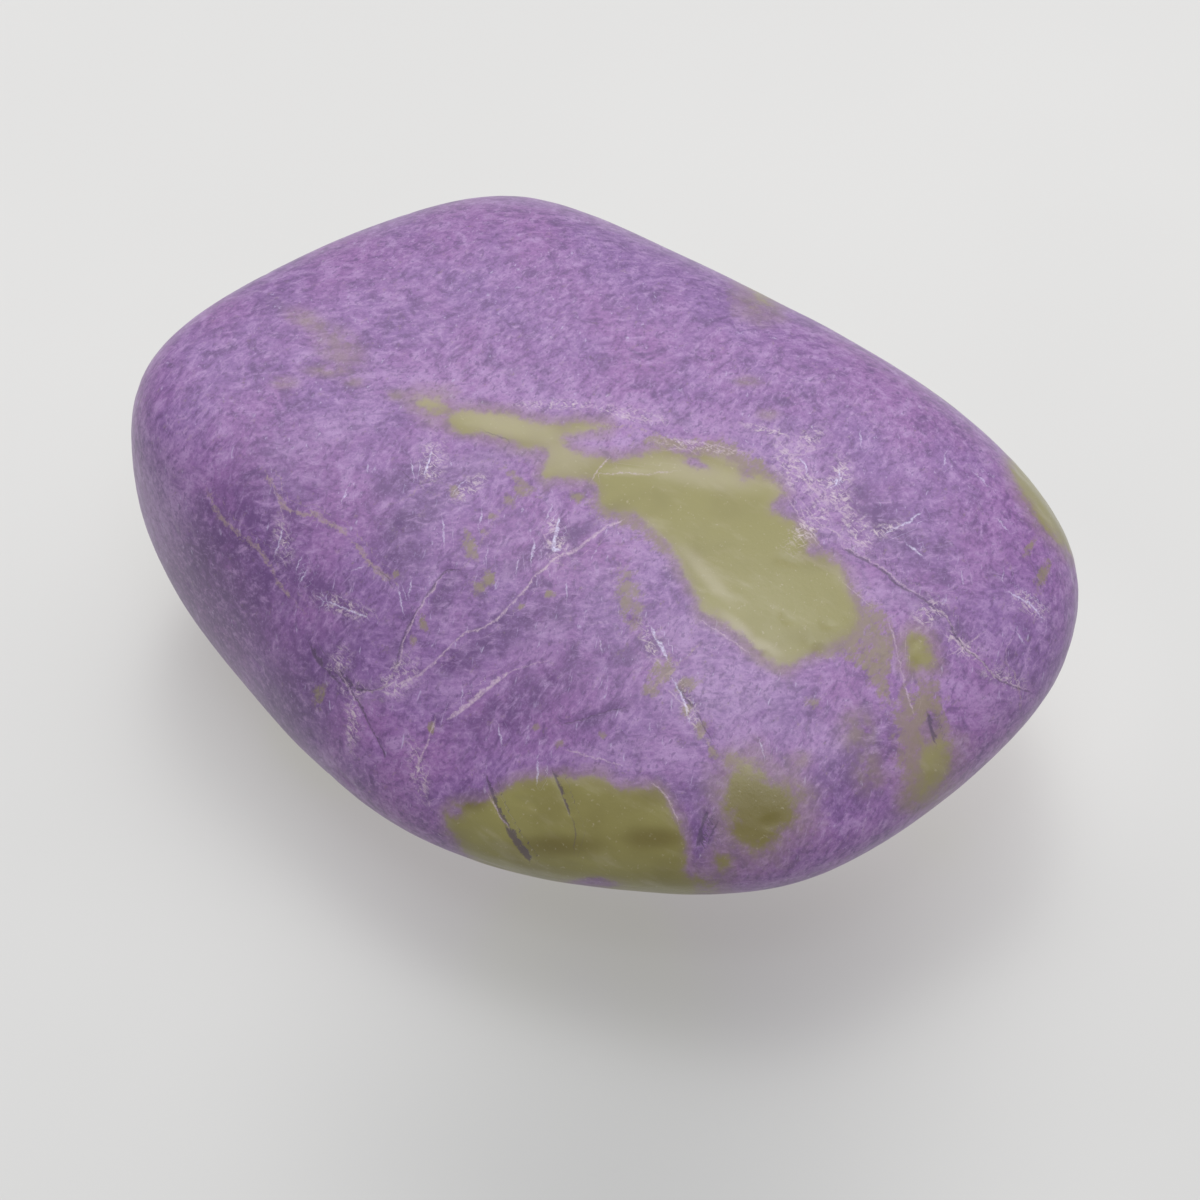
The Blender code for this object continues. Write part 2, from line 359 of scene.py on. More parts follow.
FAR_CREAM_LINES = (
    (2.4, ((128, 20), (134, 13), (143, 8), (150, 1), (160, -3), (168, -10), (180, -15), (190, -24))),
    (1.44, ((143, 8), (140, 0), (143, -8), (141, -18))),
    (1.82, ((86, -8), (92, -15), (101, -19), (108, -27), (118, -32))),
    (1.32, ((24, 2), (32, -4), (38, -12), (49, -16), (58, -23))),
    (1.32, ((212, 14), (207, 6), (209, -4), (204, -14), (206, -26))),
    (1.0, ((-6, -12), (-14, -18), (-18, -27), (-28, -33))),
    (1.1, ((236, -10), (246, -14), (252, -22), (262, -24))),
    (1.0, ((160, 30), (152, 25), (146, 27), (138, 22))),
)
FAR_CRACK_LINES = (
    (2.08, ((150, 26), (156, 18), (155, 9), (161, 3), (170, 1), (176, -6))),
    (1.54, ((110, 16), (117, 9), (126, 7), (133, 0), (136, -7))),
    (1.54, ((60, -6), (66, -12), (76, -14), (83, -20), (94, -23))),
    (1.2, ((10, -4), (16, -11), (14, -19), (21, -28))),
    (1.2, ((222, -8), (230, -15), (228, -23), (236, -30))),
)
FAR_WHITE_LINES = (
    (1.32, ((72, -3), (74, -7))), (1.0, ((84, 18), (87, 15))), (1.44, ((118, -2), (120, -7), (118, -10))),
    (1.0, ((146, -12), (149, -15))), (1.32, ((165, 12), (163, 8))), (1.0, ((98, 22), (102, 20))),
    (1.0, ((184, 6), (186, 1))), (1.32, ((130, -30), (136, -33))), (1.0, ((44, 10), (47, 7))),
    (1.0, ((46, -20), (50, -22))), (1.0, ((-10, -8), (-13, -12))), (1.1, ((-34, -24), (-38, -28))),
    (1.0, ((256, -12), (258, -17))), (1.0, ((216, -4), (219, -9))), (1.0, ((110, -14), (112, -18))),
)

# How outlines and lines are rounded, how far from a line its width is kept, how much of its ends tapers,
# and how far an outline is felt, in pixels
CORNER_SHARE = 0.25
OUTLINE_ROUNDS = 1
LINE_ROUNDS = 2
LINE_REACH = 9
LINE_TAPER = 9
PATCH_REACH = 60

# How soft a stain's edge is, and how fast it falls off
FIRM = 0.9
SOFT = 0.7
STAIN_FALL = 1.5

# How far past the rim the picture's olive and lines reach, and over how far its other markings give way to
# those of the far side, in pixels. The rim is found in this many directions
RIM_REACH = 150
RIM_LINE_REACH = 8
RIM_BLEND = 30
RIM_BINS = 360

# The far side's map: its scale, the degree round the stone that it starts at, and how strong its tangles
# are
FAR_PIXELS_PER_DEGREE = 6.8
FAR_START = -60
FAR_TANGLE_SHARE = 0.55

# How ragged the olive's edge is: its size in millimetres, its reach in pixels, and how much of it the near
# side has
RAGGED_SIZE = 1.1
RAGGED_REACH = 5
RAGGED_SHARE = 0.3

# How softly olive rises and tan bands fade at their edges, in pixels, and how strong tan is at its outline
OLIVE_SHOULDER = 16
TAN_SHOULDER = 16
TAN_AT_EDGE = 0.6

# Relief, in millimetres
SWELL_HEIGHT = 0.035
SWELL_SIZE = 2.6
OLIVE_HEIGHT = 0.014
CRACK_DEPTH = 0.035
PIT_DEPTH = 0.03
PIT_SIZE = 0.7

# A groove's reach and the crack width that makes it full, in pixels, and where in their noise the pits lie
GROOVE_REACH = 4
GROOVE_WIDTH = 2
PIT_SHIFT = (7, 3, 5)
PIT_START = 0.42
PIT_RANGE = 0.3

# Linear colours
VIOLET = (0.212, 0.106, 0.302, 1)
DEEP_VIOLET = (0.108, 0.048, 0.168, 1)
MAGENTA = (0.252, 0.112, 0.318, 1)
LILAC = (0.360, 0.225, 0.448, 1)
PALE_FLECK = (0.460, 0.400, 0.600, 1)
OLIVE = (0.229, 0.208, 0.068, 1)
DEEP_OLIVE = (0.118, 0.094, 0.018, 1)
PALE_OLIVE = (0.440, 0.392, 0.300, 1)
TAN = (0.215, 0.160, 0.140, 1)
TAN_VEIN = (0.300, 0.222, 0.215, 1)
BROWN_OLIVE = (0.215, 0.176, 0.100, 1)
CREAM = (0.500, 0.385, 0.480, 1)
WHITE = (0.600, 0.560, 0.760, 1)
FIBRE = (0.560, 0.470, 0.520, 1)
DARK = (0.060, 0.036, 0.080, 1)
FLOOR = (0.120, 0.128, 0.136, 1)
FLOOR_CLOUD = (0.105, 0.113, 0.121, 1)
FLOOR_GLOW = (0.440, 0.428, 0.412, 1)
FLOOR_DIM = (0.350, 0.340, 0.327, 1)
FLOOR_SHADE = (0.215, 0.207, 0.198, 1)
FLOOR_LIT = (0.500, 0.487, 0.468, 1)
WORLD_COLOUR = (1.0, 1.0, 1.0, 1)

# Noise: its scale per millimetre, detail, roughness and, for some, distortion
NOISE_INPUTS = ("Scale", "Detail", "Roughness", "Distortion")
GRAINS = {
    "broad": (0.30, 3, 0.55),
    "mottle": (1.3, 4, 0.65, 0.8),
    "steep": (4.2, 5, 0.68, 0.5),
    "level": (4.0, 5, 0.68, 0.5),
    "turning": (0.22, 1, 0.5),
    "strand": (7.0, 3, 0.6, 0.5),
    "grit": (8.0, 3, 0.7),
    "speck": (12.0, 2, 0.6),
    "shade": (6.5, 2, 0.5),
    "cloud": (0.42, 2, 0.5),
    "wisp": (1.6, 3, 0.6),
    "dust": (7.0, 2, 0.6),
    "ragged": (0.9, 2, 0.6),
    "frayed": (4.5, 3, 0.7),
    "wobble": (3.4, 5, 0.75),
    "patchy": (2.2, 4, 0.65),
    "gaps": (3.4, 4, 0.75),
    "crumbs": (9.0, 3, 0.7),
    "stain": (4.2, 5, 0.8),
    "earth": (0.9, 3, 0.6),
    "breaks": (2.0, 4, 0.75),
    "falling": (8.5, 3, 0.65, 0.8),
    "rising": (8.0, 3, 0.65, 0.8),
    "wear": (1.2, 4, 0.6),
    "uneven": (9.0, 3, 0.6),
    "floor": (0.035, 3, 0.5),
}

# Noise that is drawn out: its angle across the picture, in degrees, and its stretch
DRAWN_OUT = {
    "steep": (54, 2.4),
    "level": (4, 2.2),
    "strand": (78, 4.0),
    "shade": (62, 1.6),
    "wisp": (-30, 3.0),
    "stain": (50, 1.6),
    "falling": (-42, 2.6),
    "rising": (28, 2.6),
}

# How far noise swings about 0 from end to end, in pixels, or for the stain as a share
SWINGS = {"ragged": 16.0, "frayed": 11.0, "wobble": 9.0, "stain": 3.6}
NOISE_MIDDLE = 0.5

# Layers of colour, laid on in this order: the texture, where it starts and is full, its weight, and its
# colour
GROUND_LAYERS = (
    ("broad", 0.35, 0.68, 1.0, MAGENTA),
    ("mottle", 0.52, 0.27, 0.95, DEEP_VIOLET),
    ("mottle", 0.50, 0.74, 0.85, LILAC),
)
FIBRE_LAYERS = (
    ("fibre", 0.48, 0.72, 0.80, LILAC),
    ("fibre", 0.52, 0.28, 0.75, DEEP_VIOLET),
    ("grit", 0.50, 0.72, 0.34, LILAC),
    ("grit", 0.50, 0.30, 0.36, DEEP_VIOLET),
    ("shade", 0.42, 0.30, 0.55, DEEP_VIOLET),
    ("strand", 0.62, 0.78, 0.62, PALE_FLECK),
    ("speck", 0.68, 0.80, 0.55, PALE_FLECK),
)
OLIVE_LAYERS = (
    ("cloud", 0.40, 0.74, 0.42, DEEP_OLIVE),
    ("wisp", 0.50, 0.80, 0.25, PALE_OLIVE),
    ("depth", 12.0, -4.0, 0.45, TAN),
)
DUST_LAYERS = (("dust", 0.62, 0.78, 0.35, PALE_OLIVE),)

# Where each value starts and where it is full
RANGES = {
    "turning": (0.44, 0.54),
    "gaps": (0.28, 0.60),
    "breaks": (0.40, 0.62),
    "crumbs": (0.36, 0.62),
    "dusk": (0.20, 0.60),
    "pale": (0.25, 0.65),
    "faint": (0.20, 0.62),
    "stain": (0.26, 1.10),
    "earth": (0.42, 0.60),
    "falling": (0.48, 0.70),
    "rising": (0.52, 0.72),
    "olive": (-4.0, 4.0),
    "halo": (-16.0, -1.0),
    "line": (-1.0, 1.1),
    "floor": (0.35, 0.65),
}

# How strongly each marking's colour covers what is under it
WEIGHTS = {
    "dusk": 0.90,
    "pale": 0.72,
    "stain": 0.82,
    "faint": 0.55,
    "halo": 0.50,
    "tan_line": 0.75,
    "olive pale": 0.38,
    "olive dusk": 0.80,
    "tangle": 0.85,
    "crack": 0.70,
    "cream": 0.80,
    "white": 0.90,
}

# Lines: the share of their width that the gaps and the breaks leave, how much more the white ones keep and
# the tan ones wobble, and the least cover that crumbs leave
GAP_SHARE = 0.56
BREAK_SHARE = 0.62
WHITE_SHARE = 1.3
TAN_WOBBLE = 1.7
CRUMB_COVER = 0.35

# The polish: its roughness from least to most worn, how much smoother the olive is, its sheen, and its fine
# bumps
WEAR = {"To Min": 0.34, "To Max": 0.50}
OLIVE_POLISH = 0.10
STONE_FINISH = {
    "IOR": 1.52,
    "Sheen Weight": 0.18,
    "Sheen Roughness": 0.5,
    "Sheen Tint": (0.85, 0.83, 0.90, 1),
}
BUMP = {"Strength": 0.5, "Distance": 0.00001}
BUMP_OF_CRACKS = -1.5

# The floor: its size in metres, and, in millimetres, where its glow starts and stops growing towards the
# back, and where it is darker and lighter
FLOOR_SIZE = 3
FLOOR_FRONT = -22
FLOOR_BACK = 20
FLOOR_SHADE_AT = (15.6, -16.1, 0)
FLOOR_SHADE_RADIUS = 17
FLOOR_LIT_AT = (10, 6, 0)
FLOOR_LIT_RADIUS = 11
FLOOR_FINISH = {"Roughness": 0.38, "IOR": 1.66, "Specular IOR Level": 1.0, "Emission Strength": 1.0}

# Soft lights: degrees round and up, distance and size in metres, and power in watts
LIGHTS = (
    ("overhead light", 134, 68, 0.5, 0.75, 2.65),
    ("front light", -50, 74, 0.45, 0.2, 0.48),
    ("right light", 16, 25, 0.5, 0.3, 0.26),
)
WORLD_STRENGTH = 0.42


def towards(turn_deg, rise_deg):
    """The unit vector that points this far round from +X and this far up."""
    turn = math.radians(turn_deg)
    rise = math.radians(rise_deg)
    return Vector((math.cos(rise) * math.cos(turn), math.cos(rise) * math.sin(turn), math.sin(rise)))


def camera_axes():
    """The camera's right, up and backward directions."""
    back = towards(CAMERA_ROUND, CAMERA_UP)
    right = Vector((0, 0, 1)).cross(back).normalized()
    return right, back.cross(right), back


def camera_place():
    _, _, back = camera_axes()
    return Vector(CAMERA_TARGET) + back * CAMERA_DISTANCE


def add_camera():
    right, up, back = camera_axes()
    camera = bpy.data.objects.new("camera", bpy.data.cameras.new("camera"))
    camera.data.lens = LENS
    camera.data.sensor_width = SENSOR
    camera.data.clip_start = CLIP_NEAR
    camera.data.clip_end = CLIP_FAR
    camera.matrix_world = Matrix((right, up, back)).transposed().to_4x4()
    camera.location = camera_place()
    bpy.context.scene.collection.objects.link(camera)
    bpy.context.scene.camera = camera


# The fine skin


def skin_mesh():
    """A cube with each face halved over and over, which becomes the skin."""
    bpy.ops.mesh.primitive_cube_add(size=2)
    cube = bpy.context.object
    halving = cube.modifiers.new("halving", "SUBSURF")
    halving.subdivision_type = "SIMPLE"
    halving.levels = SKIN_HALVINGS
    halving.render_levels = SKIN_HALVINGS
    graph = bpy.context.evaluated_depsgraph_get()
    mesh = bpy.data.meshes.new_from_object(cube.evaluated_get(graph))
    bpy.data.objects.remove(cube, do_unlink=True)
    return mesh


def rows_of(items, name, width, kind=float):
    """One row of numbers for each item of a mesh."""
    numbers = np.empty(len(items) * width, kind)
    items.foreach_get(name, numbers)
    return numbers.reshape(-1, width)


def set_points(mesh, points):
    mesh.vertices.foreach_set("co", points.astype(np.float32).ravel())
    mesh.update()


def skin_directions(points, size):
    """The cube's points evened out on a ball, crowded towards the camera and stretched like the stone."""
    directions = np.tan(points * math.pi / 4)
    directions /= np.linalg.norm(directions, axis=1, keepdims=True)
    right, up, back = camera_axes()
    directions = directions @ np.array([right, up, back])
    directions += np.array(back) * CROWDING
    directions *= size
    return directions / np.linalg.norm(directions, axis=1, keepdims=True)


def cast_onto(node, middle, directions):
    """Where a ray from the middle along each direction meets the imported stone."""
    corners = [vertex.co for vertex in node.data.vertices]
    faces = [face.vertices[:] for face in node.data.polygons]
    tree = BVHTree.FromPolygons(corners, faces)
    origin = Vector(middle)
    return np.array([tree.ray_cast(origin, Vector(direction))[0] for direction in directions])


def smoothed(points, edges):
    """The points with the facets smoothed away, by steps in and out, so that nothing shrinks."""
    count = len(points)
    ends = np.concatenate([edges[:, 0], edges[:, 1]])
    others = np.concatenate([edges[:, 1], edges[:, 0]])
    degree = np.bincount(ends, minlength=count)
    for step in [SMOOTH_IN, SMOOTH_OUT] * SMOOTHING_ROUNDS:
        for axis in range(3):
            mean = np.bincount(ends, points[others, axis], count) / degree
            points[:, axis] += step * (mean - points[:, axis])
    return points


def normals_of(mesh):
    return rows_of(mesh.vertex_normals, "vector", 3, np.float32).astype(float)


# Markings on a flat map


def rounded(points, closed, rounds):
    """Cuts the corners off an outline or a line, over and over."""
    points = np.array(points, float)
    for _ in range(rounds):
        following = np.roll(points, -1, axis=0)
        early = points * (1 - CORNER_SHARE) + following * CORNER_SHARE
        late = points * CORNER_SHARE + following * (1 - CORNER_SHARE)
        cuts = np.stack([early, late], axis=1)
        if closed:
            points = cuts.reshape(-1, 2)
        else:
            points = np.concatenate([points[:1], cuts[:-1].reshape(-1, 2), points[-1:]])
    return points


def nearest_on(places, start, end):
    """For each place: its distance to the segment, its side of it, and the share of the way along it."""
    along = end - start
    length = np.hypot(*along)
    offset = places - start
    share = np.clip(offset @ along / length**2, 0, 1)
    gap = np.linalg.norm(offset - share[:, None] * along, axis=1)
    side = np.where(along[0] * offset[:, 1] - along[1] * offset[:, 0] < 0, -1.0, 1.0)
    return gap, side, share * length


def outline_depth(places, outline):
    """How deep each place lies inside the outline, in pixels: negative outside it."""
    corners = rounded(outline, closed=True, rounds=OUTLINE_ROUNDS)
    depth = np.full(len(places), -float(PATCH_REACH))
    near = within(places, corners, PATCH_REACH)
    nearby = places[near]
    gap = np.full(len(nearby), float(PATCH_REACH))
    inside = np.zeros(len(nearby), bool)
    for start, end in zip(corners, np.roll(corners, -1, axis=0)):
        gap = np.minimum(gap, nearest_on(nearby, start, end)[0])
        crosses = (start[1] > nearby[:, 1]) != (end[1] > nearby[:, 1])
        rise = end[1] - start[1] if end[1] != start[1] else 1
        cut = start[0] + (nearby[:, 1] - start[1]) * (end[0] - start[0]) / rise
        inside ^= crosses & (nearby[:, 0] < cut)
    depth[near] = np.where(inside, gap, -gap)
    return depth


def within(places, points, reach):
    """Which places lie in the box round the points, widened by this reach."""
    low = points.min(axis=0) - reach
    high = points.max(axis=0) + reach
    return ((places > low) & (places < high)).all(axis=1)


def oval_spread(places, oval):
    """How far out each place lies from an oval's middle: 1 on the oval itself."""
    x, y, half_long, half_wide, tilt = oval
    turn = math.radians(-tilt)
    offset = places - (x, y)
    along = offset[:, 0] * math.cos(turn) + offset[:, 1] * math.sin(turn)
    across = offset[:, 1] * math.cos(turn) - offset[:, 0] * math.sin(turn)
    return np.hypot(along / half_long, across / half_wide)


def oval_depth(places, oval):
    """How deep each place lies inside an oval, roughly in the map's units: negative outside it."""
    _, _, half_long, half_wide, _ = oval
    return (1 - oval_spread(places, oval)) * math.sqrt(half_long * half_wide)


def deepest(places, shapes, depth_of):
    depth = np.full(len(places), -float(PATCH_REACH))
    for shape in shapes:
        depth = np.maximum(depth, depth_of(places, shape))
    return depth


def soft_depth(places, patch):
    """The depth in a patch with a softer edge changes more slowly."""
    softness, outline = patch
    depth = outline_depth(places, outline)
    return np.where(depth > -PATCH_REACH, depth / softness, depth)


def oval_cover(places, ovals, softness=FIRM):
    """How strongly the soft ovals cover each place, from 0 to 1: stains, tangles, and painted shade and
    highlights.
    """
    weight = np.zeros(len(places))
    for oval in ovals:
        spread = oval_spread(places, oval)
        weight = np.maximum(weight, np.exp(-softness * (spread**2) ** STAIN_FALL))
    return weight


def line_fields(places, lines, scale=1.0):
    """Each place's distance to its nearest line, negative on one side, and that line's width there."""
    sides = np.full(len(places), float(LINE_REACH))
    widths = np.zeros(len(places))
    nearest = np.full(len(places), float(LINE_REACH))
    for width, line in lines:
        bends = rounded(np.array(line, float) * scale, closed=False, rounds=LINE_ROUNDS)
        near = np.flatnonzero(within(places, bends, LINE_REACH))
        lengths = np.hypot(*np.diff(bends, axis=0).T)
        total = lengths.sum()
        taper = min(LINE_TAPER, total / 2)
        done = 0.0
        for start, end, length in zip(bends[:-1], bends[1:], lengths):
            gap, side, along = nearest_on(places[near], start, end)
            closer = gap < nearest[near]
            chosen = near[closer]
            nearest[chosen] = gap[closer]
            sides[chosen] = (gap * side)[closer]
            way = along[closer] + done
            to_end = np.minimum(way, total - way)
            widths[chosen] = width * np.sqrt(np.clip(to_end / taper, 0, 1))
            done += length
    return sides, widths


# Laying the markings onto the skin


def picture_places(points):
    """Where the camera sees each point, in pixels from the picture's top left corner."""
    right, up, back = camera_axes()
    offset = points - np.array(camera_place())
    scale = FOCAL_PIXELS / -(offset @ np.array(back))
    x = PICTURE_SIDE / 2 + offset @ np.array(right) * scale
    y = PICTURE_SIDE / 2 - offset @ np.array(up) * scale
    return np.stack([x, y], axis=1)


def turned_away(points, normals):
    """Which points face away from the camera."""
    return (normals * (np.array(camera_place()) - points)).sum(axis=1) < 0


def unfolded(places, hidden):
    """Folds the far side out round the rim: a hidden point lies as far outside it as it was inside."""
    middle = (places.min(axis=0) + places.max(axis=0)) / 2
    offset = places - middle
    reach = np.hypot(offset[:, 0], offset[:, 1])
    angle = np.arctan2(offset[:, 1], offset[:, 0])
    slot = ((angle + math.pi) / math.tau * RIM_BINS).astype(int) % RIM_BINS
    rim = np.zeros(RIM_BINS)
    np.maximum.at(rim, slot, reach)
    centres = (np.arange(RIM_BINS) + 0.5) / RIM_BINS * math.tau - math.pi
    edge = np.interp(angle, centres, rim, period=math.tau)
    past = np.where(hidden, 2 * np.maximum(edge - reach, 0), 0)
    return places + offset / reach[:, None] * past[:, None], past / 2


def far_places(points, middle):
    """Each point's way round and up from the middle, as a flat map in pixels."""
    offset = points - middle
    turn = np.degrees(np.arctan2(offset[:, 1], offset[:, 0]))
    turn = np.where(turn < FAR_START, turn + 360, turn)
    rise = np.degrees(np.arctan2(offset[:, 2], np.hypot(offset[:, 0], offset[:, 1])))
    return np.stack([turn, rise], axis=1) * FAR_PIXELS_PER_DEGREE


def scaled(ovals):
    """Ovals of the far side, from degrees to its map's pixels."""
    return [(*(FAR_PIXELS_PER_DEGREE * part for part in oval[:4]), oval[4]) for oval in ovals]


def scaled_patches(patches):
    """Patches of the far side, from degrees to its map's pixels."""
    return [(softness, np.array(outline) * FAR_PIXELS_PER_DEGREE) for softness, outline in patches]


def joined_lines(seen, far, hidden):
    """Takes each point's line from the map that it belongs to."""
    side = np.where(hidden & (far[1] > seen[1]), far[0], seen[0])
    width = np.where(hidden, np.maximum(far[1], seen[1]), seen[1])
    return side, width


def noise_at(points, size, shift=(0, 0, 0)):
    """Noise of this size, in millimetres, at each point."""
    return np.array([noise.noise(Vector(point) / (size * MM) + Vector(shift)) for point in points])


def olive_depths(places, far, hidden, past_rim, ragged):
    """How deep each point lies in the olive, in pixels: negative outside it."""
    seen_olive = deepest(places, OLIVE_PATCHES, soft_depth)
    seen_olive = np.minimum(seen_olive, -deepest(places, VIOLET_SPOTS, oval_depth))
    seen_olive = np.where(past_rim < RIM_REACH, seen_olive + ragged * RAGGED_SHARE, -float(PATCH_REACH))
    far_olive = deepest(far, scaled_patches(FAR_OLIVE), soft_depth)
    far_olive = np.minimum(far_olive, -deepest(far, scaled(FAR_VIOLET), oval_depth))
    kept_back = np.where(hidden, np.clip(1 - past_rim / RIM_BLEND, 0, 1), 2) * PATCH_REACH / 2
    far_olive = far_olive + ragged - kept_back
    return np.clip(np.maximum(seen_olive, far_olive), -PATCH_REACH, PATCH_REACH)


def tan_weights(places):
    """How strongly the tan bands and stains that the camera sees show."""
    band = np.clip(deepest(places, TAN_BANDS, outline_depth) / TAN_SHOULDER + TAN_AT_EDGE, 0, 1)
    return np.maximum(oval_cover(places, TAN_STAINS), band) * (1 - oval_cover(places, TAN_GAPS, SOFT))


def markings_of(points, normals, middle):
    """Every marking as one number for each point of the skin."""
    hidden = turned_away(points, normals)
    places, past_rim = unfolded(picture_places(points), hidden)
    far = far_places(points, middle)
    ragged = noise_at(points, RAGGED_SIZE) * RAGGED_REACH
    beyond = np.where(hidden, np.clip(past_rim / RIM_BLEND, 0, 1), 0)
    seen = 1 - beyond
    far_tangle = oval_cover(far, scaled(FAR_TANGLES)) * FAR_TANGLE_SHARE
    marks = {
        "olive": olive_depths(places, far, hidden, past_rim, ragged),
        "tan": np.maximum(tan_weights(places) * seen, oval_cover(far, scaled(FAR_TAN)) * beyond),
        "tangle": np.maximum(oval_cover(places, TANGLES, SOFT) * seen, far_tangle * beyond),
        "faint": oval_cover(places, FAINT_STAINS, SOFT) * seen,
        # The dusk and pale marks are partly the stone's own colour, partly painted shade and painted
        # highlights
        "dusk": oval_cover(places, DUSK_AND_PAINTED_SHADE, SOFT) * seen,
        "pale": oval_cover(places, PALE_AND_PAINTED_HIGHLIGHTS, SOFT) * seen,
    }
    for name, seen_lines, far_lines in (
        ("cream", CREAM_LINES, FAR_CREAM_LINES),
        ("tan_line", TAN_LINES, ()),
        ("crack", CRACK_LINES, FAR_CRACK_LINES),
        ("white", WHITE_LINES, FAR_WHITE_LINES),
    ):
        near = line_fields(places, seen_lines)
        distant = line_fields(far, far_lines, FAR_PIXELS_PER_DEGREE)
        sides, widths = joined_lines(near, distant, hidden & (past_rim > RIM_LINE_REACH))
        marks[name + "_side"] = sides
        marks[name + "_width"] = widths
    return marks


def relief_of(points, marks):
    """How far each point rises, in metres: slow swells, olive standing proud, and grooves and pits."""
    shoulder = np.clip(marks["olive"] / OLIVE_SHOULDER + 0.5, 0, 1)
    shoulder = shoulder * shoulder * (3 - 2 * shoulder)
    groove = np.exp(-((marks["crack_side"] / GROOVE_REACH) ** 2))
    groove *= np.clip(marks["crack_width"] / GROOVE_WIDTH, 0, 1)
    pits = np.clip(noise_at(points, PIT_SIZE, PIT_SHIFT) - PIT_START, 0, 1) / PIT_RANGE
    height = noise_at(points, SWELL_SIZE) * SWELL_HEIGHT + shoulder * OLIVE_HEIGHT
    height -= groove * CRACK_DEPTH + pits * PIT_DEPTH
    return height * MM


def store(mesh, name, values):
    attribute = mesh.attributes.new(name, "FLOAT", "POINT")
    attribute.data.foreach_set("value", values.astype(np.float32))


def add_skin(node):
    """The visible stone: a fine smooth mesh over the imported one, with its relief and its markings."""
    low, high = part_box(node.name)
    middle = np.array((low + high) / 2)
    mesh = skin_mesh()
    cube = rows_of(mesh.vertices, "co", 3)
    directions = skin_directions(cube, np.array(high - low))
    points = cast_onto(node, middle, directions)
    resting = points[:, 2] < low.z + RESTING_TOLERANCE
    points = smoothed(points, rows_of(mesh.edges, "vertices", 2, np.int64))
    set_points(mesh, points)
    marks = markings_of(points, normals_of(mesh), middle)
    points = points + normals_of(mesh) * relief_of(points, marks)[:, None]
    points[resting, 2] = low.z
    points[:, 2] = np.maximum(points[:, 2], low.z)
    set_points(mesh, fitted(points, np.array(low), np.array(high)))
    for name, values in marks.items():
        store(mesh, name, values)
    mesh.shade_smooth()
    skin = bpy.data.objects.new("stone_skin", mesh)
    bpy.context.scene.collection.objects.link(skin)
    return skin


def fitted(points, low, high):
    """Shrinks the skin, about the middle of its base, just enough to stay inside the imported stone's box."""
    base = (low + high) / 2
    base[2] = low[2]
    reach = np.abs(points - base).max(axis=0)
    room = np.minimum(high - base, base - low)
    room[2] = high[2] - low[2]
    return base + (points - base) * min(1.0, (room / reach).min() * INSIDE_THE_BOX)


# Materials


def feed(tree, node, inputs):
    """Links each input to an output, or sets its own value."""
    for name, value in inputs.items():
        if isinstance(value, bpy.types.NodeSocket):
            tree.links.new(value, node.inputs[name])
        else:
            node.inputs[name].default_value = value


def added(tree, kind, inputs, output=0, **settings):
    """Adds a node with these settings, feeds its inputs and gives its output."""
    node = tree.nodes.new(kind)
    for name, value in settings.items():
        setattr(node, name, value)
    feed(tree, node, inputs)
    return node.outputs[output]


def math_of(tree, operation, first, second=0.0):
    return added(tree, "ShaderNodeMath", {0: first, 1: second}, operation=operation)


def less(tree, value, share):
    return math_of(tree, "MULTIPLY", value, share)


def ease(tree, value, start, end):
    """0 at start, 1 at end, and smooth between."""
    inputs = {"Value": value, "From Min": start, "From Max": end}
    return added(tree, "ShaderNodeMapRange", inputs, "Result", interpolation_type="SMOOTHSTEP")


def tint(tree, weight, under, over):
    """The colour under, with the colour over laid on it by weight."""
    return added(tree, "ShaderNodeMix", {0: weight, 6: under, 7: over}, 2, data_type="RGBA")


def tint_value(tree, weight, under, over):
    """The number under, moved towards the number over by weight."""
    return added(tree, "ShaderNodeMix", {0: weight, 2: under, 3: over}, data_type="FLOAT")


def attribute(tree, name):
    return added(tree, "ShaderNodeAttribute", {}, "Fac", attribute_name=name)


def eased(tree, name, value):
    """0 where the value's range starts, 1 where it is full, and smooth between."""
    return ease(tree, value, *RANGES[name])


def grain(tree, spot, name):
    """The named noise, drawn out if it has a row in DRAWN_OUT."""
    if name in DRAWN_OUT:
        spot = drawn_out(tree, spot, *DRAWN_OUT[name])
    inputs = dict(zip(NOISE_INPUTS, GRAINS[name]))
    return added(tree, "ShaderNodeTexNoise", {"Vector": spot, **inputs}, "Fac")


def swing(tree, spot, name):
    """The named noise, swinging to both sides of 0."""
    return less(tree, math_of(tree, "SUBTRACT", grain(tree, spot, name), NOISE_MIDDLE), SWINGS[name])


def eased_grain(tree, spot, name):
    return eased(tree, name, grain(tree, spot, name))


def millimetres(tree):
    """Object coordinates in millimetres."""
    place = added(tree, "ShaderNodeTexCoord", {}, "Object")
    return added(tree, "ShaderNodeVectorMath", {0: place, "Scale": 1 / MM}, operation="SCALE")


def drawn_out(tree, vector, angle, stretch):
    """Coordinates in which a texture is drawn out at this angle across the picture."""
    right, up, back = camera_axes()
    turn = math.radians(angle)
    along = right * math.cos(turn) + up * math.sin(turn)
    axes = Matrix((along, back.cross(along), back)).transposed()
    inputs = {"Vector": vector, "Rotation": axes.to_euler(), "Scale": (stretch, 1, 1)}
    return added(tree, "ShaderNodeMapping", inputs, vector_type="TEXTURE")


def covered(tree, under, name, cover, over):
    """The colour under, with the named marking's colour over it where it covers."""
    return tint(tree, less(tree, cover, WEIGHTS[name]), under, over)


def laid_on(tree, colour, textures, layers):
    """Lays on each layer's colour where its texture shows it."""
    for name, start, full, weight, over in layers:
        colour = tint(tree, less(tree, ease(tree, textures[name], start, full), weight), colour, over)
    return colour


def line_cover(tree, name, wobble, gaps, crumbs):
    """How much a kind of line covers the skin: soft at its edge, broken by gaps and thinned by crumbs."""
    side = math_of(tree, "ADD", attribute(tree, name + "_side"), wobble)
    off = math_of(tree, "ABSOLUTE", side)
    half = less(tree, attribute(tree, name + "_width"), gaps)
    edge = math_of(tree, "SUBTRACT", half, off)
    return less(tree, eased(tree, "line", edge), crumbs)


